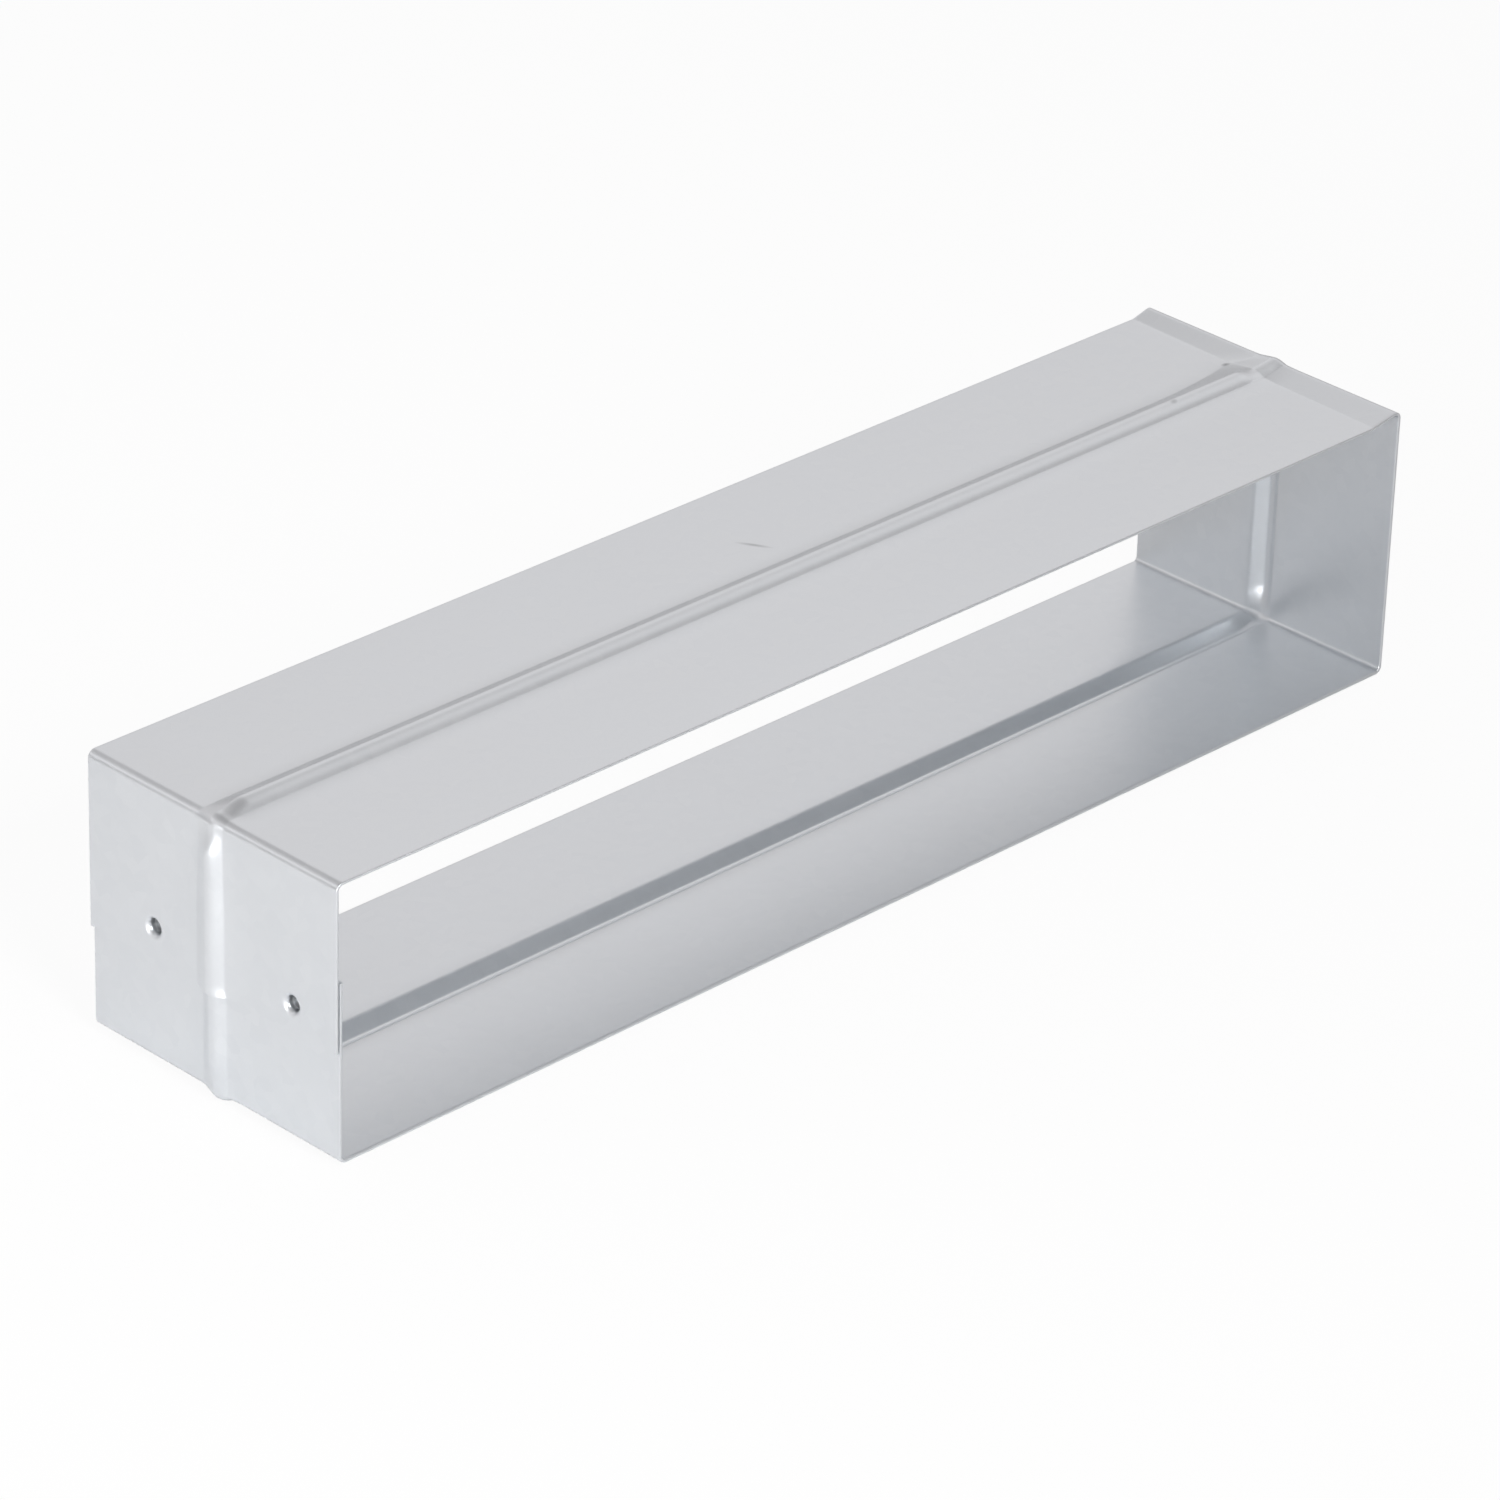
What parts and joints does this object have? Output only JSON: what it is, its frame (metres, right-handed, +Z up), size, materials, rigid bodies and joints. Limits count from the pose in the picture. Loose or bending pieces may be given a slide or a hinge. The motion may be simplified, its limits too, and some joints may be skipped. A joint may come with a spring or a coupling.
{
  "type": "flat duct connector",
  "caption": "Flat rectangular sleeve of galvanised sheet with an outward bead round its middle, which joins two lengths of flat duct pushed over its ends.",
  "frame": {"origin": "under the middle of the sleeve, level with the crest of its lowest bead", "axes": "+X along the long side towards the wall without the lap, +Y through the sleeve from the near opening to the far one, +Z up"},
  "size_m": [0.2506, 0.058, 0.0532],
  "materials": {
    "galvanised": "satin hot-dip galvanised sheet"
  },
  "bodies": {
    "root": {"sleeve": "galvanised"}
  },
  "joints": []
}
